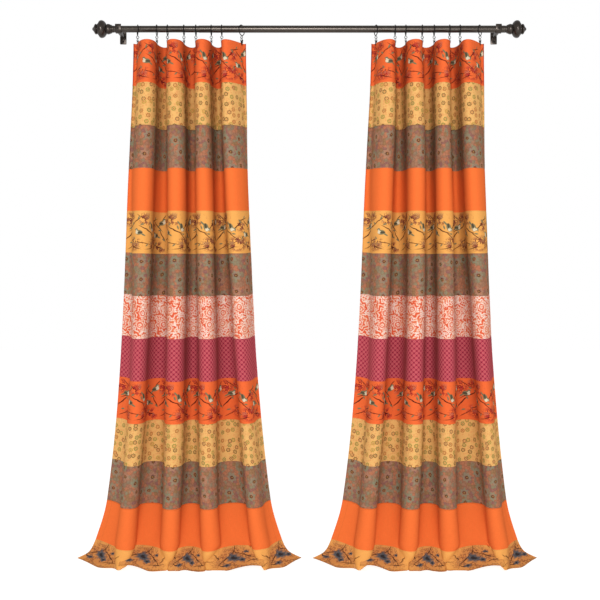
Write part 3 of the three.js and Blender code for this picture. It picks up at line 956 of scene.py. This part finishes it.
class CURTAIN_OT_rod(bpy.types.Operator):
    """Make the two telescoping rod tubes"""
    bl_idname = "curtain.rod"
    bl_label = "Rod tubes"

    def execute(self, context):
        sizes = context.scene.rod_settings
        for tube, radius, wall in (("rod_outer_tube", sizes.outer_radius, 0.6 * MM),
                                   ("rod_inner_tube", sizes.inner_radius, 0.8 * MM)):
            low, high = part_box(tube)
            lip = wall / 2
            bm = bmesh.new()
            outline = [(low.x, radius - wall), (low.x, radius - lip), (low.x + lip, radius),
                       (high.x - lip, radius), (high.x, radius - lip), (high.x, radius - wall),
                       (low.x, radius - wall)]
            turned(bm, outline, 64)
            settle(bm, Matrix.Translation((0, ROD_Y, ROD_Z)))
            piece = object_from(f"{tube}_fine", bm, metal("rod_bronze"))
            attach(piece, BODY_OF[tube])
            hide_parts(tube)
        return {"FINISHED"}


# Finial outline: (distance out from the tube's end, radius) in mm
FINIAL_OUTLINE = [
    (0.3, 13.6), (2.4, 14.2), (5, 14.0), (7, 14.8), (8, 16.6), (9.5, 17.2), (11, 16.8), (12, 17.6),
    (16, 19.6), (21, 20.8), (25.4, 20.6), (26.8, 19.2), (27.6, 17.6), (28.8, 17.8), (30, 20.6),
    (32.4, 24.6), (36, 29.4), (40, 32.8), (45, 34.8), (50, 35.2), (54, 34.2), (57.2, 32), (59.4, 28.6),
    (60.4, 25.4), (60.8, 23.2), (61.8, 23.4), (63.6, 23.0), (64.6, 20.6), (65, 17.2), (66, 16.8),
    (67.6, 18.6), (69.6, 20.6), (72, 20.9), (74.4, 19.8), (76.4, 17.0), (78.2, 13.4), (80.4, 9.6),
    (82.8, 7.0), (84.8, 5.0), (86, 2.6), (86.4, 0),
]


class CURTAIN_OT_finials(bpy.types.Operator):
    """Turn the two finials with their spigots"""
    bl_idname = "curtain.finials"
    bl_label = "Finials"

    def execute(self, context):
        for side, direction, spigot in (("left", -1, 12.3), ("right", 1, 13.4)):
            name = f"finial_{side}"
            low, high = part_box(name)
            tube = "rod_inner_tube" if side == "left" else "rod_outer_tube"
            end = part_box(tube)[0].x if side == "left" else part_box(tube)[1].x
            outline = smooth_outline(FINIAL_OUTLINE, 3)
            outline = [(-25, 0), (-25, spigot - 1), (-24, spigot), (0.3, spigot)] + outline
            bm = bmesh.new()
            turned(bm, [(x * MM, r * MM) for x, r in outline], 72)
            matrix = Matrix.Translation((end, ROD_Y, ROD_Z))
            if direction < 0:
                matrix = matrix @ Matrix.Rotation(math.pi, 4, "Z")
            settle(bm, matrix)
            piece = object_from(f"{name}_turned", bm, metal("cast_bronze"), 40)
            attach(piece, BODY_OF[name])
            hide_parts(name)
        return {"FINISHED"}


def extruded_outline(bm, points, depth, centre_y=0.0):
    """A flat outline in X and Z, extruded along Y and centred on centre_y."""
    verts = [bm.verts.new((x, centre_y - depth / 2, z)) for x, z in points]
    face = bm.faces.new(verts)
    moved = bmesh.ops.extrude_face_region(bm, geom=[face])
    new = [v for v in moved["geom"] if isinstance(v, bmesh.types.BMVert)]
    bmesh.ops.translate(bm, vec=(0, depth, 0), verts=new)
    bmesh.ops.recalc_face_normals(bm, faces=bm.faces)


def soften(bm, width, segments=2, angle=30):
    edges = [e for e in bm.edges
             if len(e.link_faces) == 2 and e.calc_face_angle(0) > math.radians(angle)]
    bmesh.ops.bevel(bm, geom=edges, offset=width, affect="EDGES", segments=segments,
                    profile=0.5, material=-1, clamp_overlap=True)


def arc(centre, radius, start, end, count):
    return [(centre[0] + radius * math.cos(math.radians(start + (end - start) * k / count)),
             centre[1] + radius * math.sin(math.radians(start + (end - start) * k / count)))
            for k in range(count + 1)]


def boolean(base, tools, operation):
    """base joined with or cut by tools; every argument is a bmesh, and one comes back."""
    objects = []
    for bm in [base, *tools]:
        bmesh.ops.recalc_face_normals(bm, faces=bm.faces)
        mesh = bpy.data.meshes.new("tool")
        bm.to_mesh(mesh)
        bm.free()
        piece = bpy.data.objects.new("tool", mesh)
        bpy.context.collection.objects.link(piece)
        objects.append(piece)
    for tool in objects[1:]:
        modifier = objects[0].modifiers.new("cut", "BOOLEAN")
        modifier.operation = operation
        modifier.solver = "EXACT"
        modifier.object = tool
    shown = objects[0].evaluated_get(bpy.context.evaluated_depsgraph_get())
    result = bmesh.new()
    result.from_mesh(shown.to_mesh())
    shown.to_mesh_clear()
    for piece in objects:
        mesh = piece.data
        bpy.data.objects.remove(piece)
        bpy.data.meshes.remove(mesh)
    return result


def peg(radius, length, matrix, sides=32):
    bm = bmesh.new()
    bmesh.ops.create_cone(bm, cap_ends=True, segments=sides, radius1=radius, radius2=radius,
                          depth=length, matrix=matrix)
    return bm


# Bracket, in mm
PLATE_WIDTH, PLATE_HEIGHT, PLATE_THICK, PLATE_CORNER, PLATE_CENTRE_Z = 26.5, 54, 4, 3, -13
CUP_R, CUP_WALL, CUP_TOP, CUP_WIDTH = 14.6, 3, 17.5, 24
WALL_SCREW_OFFSET = 17  # from the plate's middle
THREAD_PITCH = 1.2


def bracket_mesh():
    """Plate, arm and open cup, cast in one, at X = 0. Millimetres."""
    plate = bmesh.new()
    half, tall, corner, centre = PLATE_WIDTH / 2, PLATE_HEIGHT / 2, PLATE_CORNER, PLATE_CENTRE_Z
    outline = (arc((half - corner, centre + tall - corner), corner, 0, 90, 6)
               + arc((-half + corner, centre + tall - corner), corner, 90, 180, 6)
               + arc((-half + corner, centre - tall + corner), corner, 180, 270, 6)
               + arc((half - corner, centre - tall + corner), corner, 270, 360, 6))
    extruded_outline(plate, outline, PLATE_THICK, -PLATE_THICK / 2)
    soften(plate, 0.8, 2, 60)
    cup = bmesh.new()
    outer = CUP_R + CUP_WALL
    wall = (arc((0, 0), outer, 180, 360, 40) + [(outer, CUP_TOP), (CUP_R, CUP_TOP)]
            + arc((0, 0), CUP_R, 360, 180, 40) + [(-CUP_R, CUP_TOP), (-outer, CUP_TOP)])
    extruded_outline(cup, wall, CUP_WIDTH)
    soften(cup, 0.7, 2, 60)
    settle(cup, Matrix.Translation((0, -100, 0)) @ Matrix.Rotation(math.pi / 2, 4, "Z"))
    arm = bmesh.new()
    extruded_outline(arm, [(-6, -15), (6, -15), (6, -2), (-6, -2)], 82.9, -42.45)
    soften(arm, 1.6, 3, 60)
    upright = Matrix.Rotation(math.pi / 2, 4, "X")
    tools = [peg(2.6, 20, Matrix.Translation((0, -2, centre + s * WALL_SCREW_OFFSET)) @ upright)
             for s in (-1, 1)]
    tools.append(peg(2.3, 9, Matrix.Translation((0, -116.1, 0)) @ upright))
    body = boolean(plate, [arm, cup], "UNION")
    return boolean(body, tools, "DIFFERENCE")


def screw(head_r, head_h, shank_r, length, slot_depth):
    """A pan-head screw pointing along +Y, with its head's underside at Y = 0. Millimetres."""
    bm = bmesh.new()
    outline = [(-head_h, 0), (-head_h, head_r * 0.55), (-head_h * 0.8, head_r * 0.85),
               (-head_h * 0.35, head_r), (0, head_r), (0, shank_r)]
    turns = int(length / THREAD_PITCH)
    for k in range(turns):
        start = k * THREAD_PITCH
        outline += [(start + 0.3, shank_r), (start + 0.7, shank_r * 0.82)]
    outline += [(length, shank_r * 0.5), (length + 1, 0)]
    turned(bm, outline, 24)
    settle(bm, Matrix.Rotation(math.pi / 2, 4, "Z"))
    slots = []
    for turn in (0, math.pi / 2):
        blade = bmesh.new()
        bmesh.ops.create_cube(blade, size=1)
        settle(blade, Matrix.Translation((0, -head_h, 0)) @ Matrix.Rotation(turn, 4, "Y")
               @ Matrix.Diagonal((head_r * 1.1, slot_depth * 2, head_r * 0.26, 1)))
        slots.append(blade)
    return boolean(bm, slots, "DIFFERENCE")


WALL_CLEARANCE = 0.4 * MM


def trim_at_wall(piece):
    """Leaves out the part of a screw's shank that would be in the wall."""
    bm = bmesh.new()
    bm.from_mesh(piece.data)
    cut = bmesh.ops.bisect_plane(bm, geom=bm.verts[:] + bm.edges[:] + bm.faces[:],
                                 plane_co=(0, -WALL_CLEARANCE, 0), plane_no=(0, 1, 0),
                                 clear_outer=True)
    rim = [e for e in cut["geom_cut"] if isinstance(e, bmesh.types.BMEdge)]
    bmesh.ops.holes_fill(bm, edges=rim)
    bmesh.ops.recalc_face_normals(bm, faces=bm.faces)
    bm.to_mesh(piece.data)
    bm.free()


class CURTAIN_OT_brackets(bpy.types.Operator):
    """Cast the wall brackets and add their wall screws and cup screws"""
    bl_idname = "curtain.brackets"
    bl_label = "Brackets and screws"

    def execute(self, context):
        for side in SIDES:
            name = f"bracket_{side}"
            x = middle(name).x
            to_metres = Matrix.Translation((x, 0, 0)) @ Matrix.Scale(MM, 4)
            bm = bracket_mesh()
            settle(bm, to_metres)
            piece = object_from(f"{name}_cast", bm, metal("cast_bronze"), 28)
            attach(piece, "root")
            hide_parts(name)
            for label, z in (("upper", PLATE_CENTRE_Z + WALL_SCREW_OFFSET),
                             ("lower", PLATE_CENTRE_Z - WALL_SCREW_OFFSET)):
                bm = screw(4.2, 2.6, 2.3, 28, 1.3)
                settle(bm, to_metres @ Matrix.Translation((0, -4.1, z)))
                piece = object_from(f"wall_screw_{side}_{label}", bm, metal("ring_bronze"), 30)
                trim_at_wall(piece)
                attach(piece, "root")
            node_name = f"cup_screw_{side}"
            low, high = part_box(node_name)
            head_under = (ROD_Y - 17.9 * MM) / MM
            bm = screw(3.4, 1.6, 2.0, high.y / MM - head_under - 1, 0.9)
            settle(bm, to_metres @ Matrix.Translation((0, head_under, 0)))
            piece = object_from(f"{node_name}_fine", bm, metal("ring_bronze"), 30)
            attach(piece, "root")
            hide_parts(node_name)
        return {"FINISHED"}


def hanger_matrix(side, i):
    """From a clip's own millimetres, centred on the rod axis, to its place."""
    x = CLIP_X[i - 1] + (PANEL_PITCH if side == "right" else 0)
    turn = Matrix.Rotation(math.radians(CLIP_TURN[i - 1]), 4, "Z")
    return Matrix.Translation((x, ROD_Y, ROD_Z)) @ turn @ Matrix.Scale(MM, 4)


def hoop(bm, radius, wire_radius, steps, sides, matrix):
    """A round wire ring about the X axis."""
    ring = bmesh.new()
    made = bmesh.ops.create_circle(ring, cap_ends=False, radius=wire_radius, segments=sides,
                                   matrix=Matrix.Translation((0, radius, 0)))
    bmesh.ops.spin(ring, geom=made["verts"] + ring.edges[:], cent=(0, 0, 0), axis=(1, 0, 0),
                   angle=2 * math.pi, steps=steps, use_merge=True)
    bmesh.ops.transform(ring, matrix=matrix, verts=ring.verts)
    merge(bm, ring)


class CURTAIN_OT_rings(bpy.types.Operator):
    """Bend the sixteen wire rings with their brazed eyelets"""
    bl_idname = "curtain.rings"
    bl_label = "Rings"

    def execute(self, context):
        sizes = context.scene.ring_settings
        bore, wire_r = sizes.bore_radius / MM, sizes.wire_radius / MM
        for side in SIDES:
            for i in CLIPS:
                name = f"{side}_ring_{i}"
                bm = bmesh.new()
                ring_z = -(bore - OUTER_TUBE_R - SEAT_GAP)
                hoop(bm, bore + wire_r, wire_r, 72, 14, Matrix.Translation((0, 0, ring_z)))
                hoop(bm, 5, 1.1, 28, 10, Matrix.Translation((0, 0, EYE_Z))
                     @ Matrix.Rotation(math.pi / 2, 4, "Z"))
                # bead of braze where the eyelet meets the ring
                bmesh.ops.create_uvsphere(
                    bm, u_segments=14, v_segments=8, radius=1.9,
                    matrix=Matrix.Translation((0, 0, ring_z - bore - 2 * wire_r + 0.2))
                    @ Matrix.Diagonal((0.9, 1.5, 0.7, 1)))
                settle(bm, hanger_matrix(side, i))
                piece = object_from(f"{name}_wire", bm, metal("ring_bronze"), 60)
                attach(piece, BODY_OF[name])
                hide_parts(name)
        return {"FINISHED"}


def lever_outline(waist, mirror=False):
    """Side view of a clip lever: jaw, waist that clears the spring, flared handle. Millimetres."""
    t, face = 1.1, 0.9
    points = [(face, -14), (face + 0.35, -14.4), (face + t, -14), (face + t + 0.25, -6),
              (waist + t * 0.9, -3.4), (waist + t, -1.5), (waist + t, 1.8), (4.3, 6.6), (4.6, 8),
              (4.1, 8.3), (3.5, 7.9), (3.15, 6.4), (waist, 2.2), (waist, -1.6), (waist - 0.2, -3.2),
              (face + 0.1, -6.4)]
    if mirror:
        points = [(-x, z) for x, z in reversed(points)]
    return points


# Clip, in mm, about its pin
CLIP_WIDTH, JAW_WIDTH = 9, 6.8
EDGE_ROUND = 0.22
EAR_R, EAR_THICK, EAR_REACH = 1.7, 0.8, 3.1
PIN_R, PIN_LENGTH, PIN_HEAD_R, PIN_HEAD_Y = 1.1, 10.4, 1.5, 5.1
BAIL_R, BAIL_LEG = 0.7, 4.92
BARREL_R, BARREL_BORE_R, BARREL_LENGTH, BARREL_Y = 2.3, 1.4, 1.6, 2.6
SPRING_TURNS, SPRING_R, SPRING_WIRE_R, SPRING_LENGTH = 3.5, 1.72, 0.32, 2.9


def clip_body():
    """Fixed lever with its ears, the pin through them and the bail."""
    bm = bmesh.new()
    extruded_outline(bm, lever_outline(2.7), CLIP_WIDTH)
    soften(bm, EDGE_ROUND, 2, 50)
    for end in (-1, 1):
        ear = bmesh.new()
        points = arc((0, 0), EAR_R, 90, 270, 8) + [(EAR_REACH, -EAR_R), (EAR_REACH, EAR_R)]
        extruded_outline(ear, points, EAR_THICK, end * (CLIP_WIDTH - EAR_THICK) / 2)
        soften(ear, 0.12, 1, 50)
        merge(bm, ear)
    bmesh.ops.create_cone(bm, cap_ends=True, segments=20, radius1=PIN_R, radius2=PIN_R,
                          depth=PIN_LENGTH, matrix=Matrix.Rotation(math.pi / 2, 4, "X"))
    for end in (-1, 1):
        bmesh.ops.create_uvsphere(
            bm, u_segments=14, v_segments=8, radius=PIN_HEAD_R,
            matrix=Matrix.Translation((0, end * PIN_HEAD_Y, 0)) @ Matrix.Diagonal((1, 0.5, 1, 1)))
    leg = [(BAIL_LEG, -0.4), (BAIL_LEG, 2), (BAIL_LEG, 8), (BAIL_LEG * 0.95, 12.6), (2.6, 15.6)]
    bail = [(0, -y, z) for y, z in leg] + [(0, 0, 15.85)] + [(0, y, z) for y, z in reversed(leg)]
    add_wire(bm, bail, BAIL_R)
    return bm


def clip_jaw():
    """Moving lever with its two barrels about the pin."""
    bm = bmesh.new()
    extruded_outline(bm, lever_outline(1.9, mirror=True), JAW_WIDTH)
    soften(bm, EDGE_ROUND, 2, 50)
    half = BARREL_LENGTH / 2
    outline = [(-half, BARREL_BORE_R), (-half, BARREL_R), (half, BARREL_R), (half, BARREL_BORE_R),
               (-half, BARREL_BORE_R)]
    for end in (-1, 1):
        barrel = bmesh.new()
        turned(barrel, outline, 24)
        settle(barrel, Matrix.Translation((0, end * BARREL_Y, 0))
               @ Matrix.Rotation(math.pi / 2, 4, "Z"))
        merge(bm, barrel)
    return bm


def clip_spring():
    """Torsion spring coiled round the pin."""
    coil = []
    for t in np.linspace(0, 1, int(SPRING_TURNS * 12) + 1):
        angle = 2 * math.pi * t * SPRING_TURNS
        coil.append((SPRING_R * math.sin(angle), SPRING_LENGTH * (t - 0.5),
                     SPRING_R * math.cos(angle)))
    bm = bmesh.new()
    add_wire(bm, coil, SPRING_WIRE_R)
    return bm


class CURTAIN_OT_clips(bpy.types.Operator):
    """Make the sixteen sprung clips: body with pin and bail, moving jaw, torsion spring"""
    bl_idname = "curtain.clips"
    bl_label = "Clips"

    def execute(self, context):
        for side in SIDES:
            for i in CLIPS:
                place = hanger_matrix(side, i) @ Matrix.Translation((0, 0, PIN_Z))
                body, jaw = f"{side}_clip_{i}", f"{side}_jaw_{i}"
                bm = clip_body()
                settle(bm, place)
                piece = object_from(f"{body}_fine", bm, metal("ring_bronze"), 40)
                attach(piece, BODY_OF[body])
                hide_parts(body)

                bm = clip_jaw()
                settle(bm, place)
                piece = object_from(f"{jaw}_fine", bm, metal("ring_bronze"), 40)
                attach(piece, BODY_OF[jaw])
                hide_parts(jaw)

                bm = clip_spring()
                settle(bm, place)
                piece = object_from(f"{side}_spring_{i}", bm, metal("spring_steel"), 60)
                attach(piece, BODY_OF[body])
        return {"FINISHED"}


SHEET_CUTS = [2, 11]  # bands above the two seams that part a panel's three sheets


def blend_sheet(piece):
    """Bakes the sheet's placement into its mesh."""
    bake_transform(piece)


class CURTAIN_OT_panels(bpy.types.Operator):
    """Hang the two patchwork panels"""
    bl_idname = "curtain.panels"
    bl_label = "Panels"

    def execute(self, context):
        settings = context.scene.panel_settings
        materials = cotton_materials()
        points, down = sheet_grid(settings)
        grid = two_sided(points, settings.thickness)
        cuts = [0, *(bands * ROWS_PER_BAND for bands in SHEET_CUTS), len(down) - 1]
        for side in SIDES:
            shift = PANEL_PITCH if side == "right" else 0
            for k, label in enumerate(("upper", "middle", "lower")):
                name = f"{side}_panel_{label}"
                piece = sheet_object(name, grid, cuts[k], cuts[k + 1], down, settings.width,
                                     shift, materials)
                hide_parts(f"{side}_panel")
                blend_sheet(piece)
        return {"FINISHED"}


WORLD_LIGHT = 0.7  # brightness of the white surroundings as a light; they look pure white


class CURTAIN_OT_stage(bpy.types.Operator):
    """Set up the floor, the soft lights and the camera"""
    bl_idname = "curtain.stage"
    bl_label = "Stage"

    def execute(self, context):
        bm = bmesh.new()
        bmesh.ops.create_grid(bm, x_segments=1, y_segments=1, size=12,
                              matrix=Matrix.Translation((0, -2, FLOOR_Z - 0.0006)))
        material, tree, shader = start_material("pale_floor")
        shader.inputs["Base Color"].default_value = (0.6, 0.6, 0.6, 1)
        shader.inputs["Roughness"].default_value = 0.9
        shader.inputs["Specular IOR Level"].default_value = 0.0
        shader.inputs["Emission Color"].default_value = (1, 1, 1, 1)
        shader.inputs["Emission Strength"].default_value = 0.64
        floor = object_from("floor", bm, material)
        world = bpy.data.worlds.new("studio")
        context.scene.world = world
        world.use_nodes = True
        background = world.node_tree.nodes["Background"]
        background.inputs["Color"].default_value = (1, 1, 1, 1)
        seen = node(world.node_tree, "ShaderNodeLightPath", out="Is Camera Ray")
        strength = node(world.node_tree, "ShaderNodeMapRange", {
            "Value": seen, "To Min": WORLD_LIGHT, "To Max": 1.0})
        world.node_tree.links.new(strength, background.inputs["Strength"])
        for name, place, size, power in (
                ("key_light", (-0.45, -6.2, 0.6), 1.4, 180),
                ("fill_light", (0.6, -6.2, -0.9), 2.2, 130)):
            data = bpy.data.lights.new(name, "AREA")
            data.size = size
            data.energy = power
            light = bpy.data.objects.new(name, data)
            context.collection.objects.link(light)
            light.location = place
            aim = Vector((0, ROD_Y, -1.0)) - Vector(place)
            light.rotation_euler = aim.to_track_quat("-Z", "Y").to_euler()
        camera_data = bpy.data.cameras.new("camera")
        camera_data.lens = 59.7
        camera_data.sensor_width = 36
        camera_data.shift_x = -0.0155
        camera_data.shift_y = -0.058
        camera = bpy.data.objects.new("camera", camera_data)
        context.collection.objects.link(camera)
        camera.location = (0, ROD_Y - 4.0, -0.949)
        camera.rotation_euler = (math.radians(90), 0, 0)
        context.scene.camera = camera
        context.scene.view_settings.view_transform = "Standard"
        return {"FINISHED"}


class CURTAIN_PT_panel(bpy.types.Panel):
    """Lists the pieces of the curtain set and their sizes"""
    bl_idname = "CURTAIN_PT_panel"
    bl_label = "Curtains on a rod"
    bl_space_type = "VIEW_3D"
    bl_region_type = "UI"
    bl_category = "Curtains"

    def draw(self, context):
        layout = self.layout
        for name in ("rod_settings", "ring_settings", "panel_settings"):
            settings = getattr(context.scene, name)
            for key in settings.__annotations__:
                layout.prop(settings, key)
        for operator in OPERATORS:
            layout.operator(operator.bl_idname)


OPERATORS = (CURTAIN_OT_stage, CURTAIN_OT_rod, CURTAIN_OT_finials, CURTAIN_OT_brackets,
             CURTAIN_OT_rings, CURTAIN_OT_clips, CURTAIN_OT_panels)
SETTINGS = {"rod_settings": RodSettings, "ring_settings": RingSettings,
            "panel_settings": PanelSettings}


def register():
    for kind in (*SETTINGS.values(), *OPERATORS, CURTAIN_PT_panel):
        bpy.utils.register_class(kind)
    for name, kind in SETTINGS.items():
        setattr(bpy.types.Scene, name, bpy.props.PointerProperty(type=kind))


def unregister():
    for name in SETTINGS:
        delattr(bpy.types.Scene, name)
    for kind in reversed((*SETTINGS.values(), *OPERATORS, CURTAIN_PT_panel)):
        bpy.utils.unregister_class(kind)


def main():
    register()
    bpy.ops.curtain.stage()
    bpy.ops.curtain.rod()
    bpy.ops.curtain.finials()
    bpy.ops.curtain.brackets()
    bpy.ops.curtain.rings()
    bpy.ops.curtain.clips()
    bpy.ops.curtain.panels()


if __name__ == "__main__":
    main()
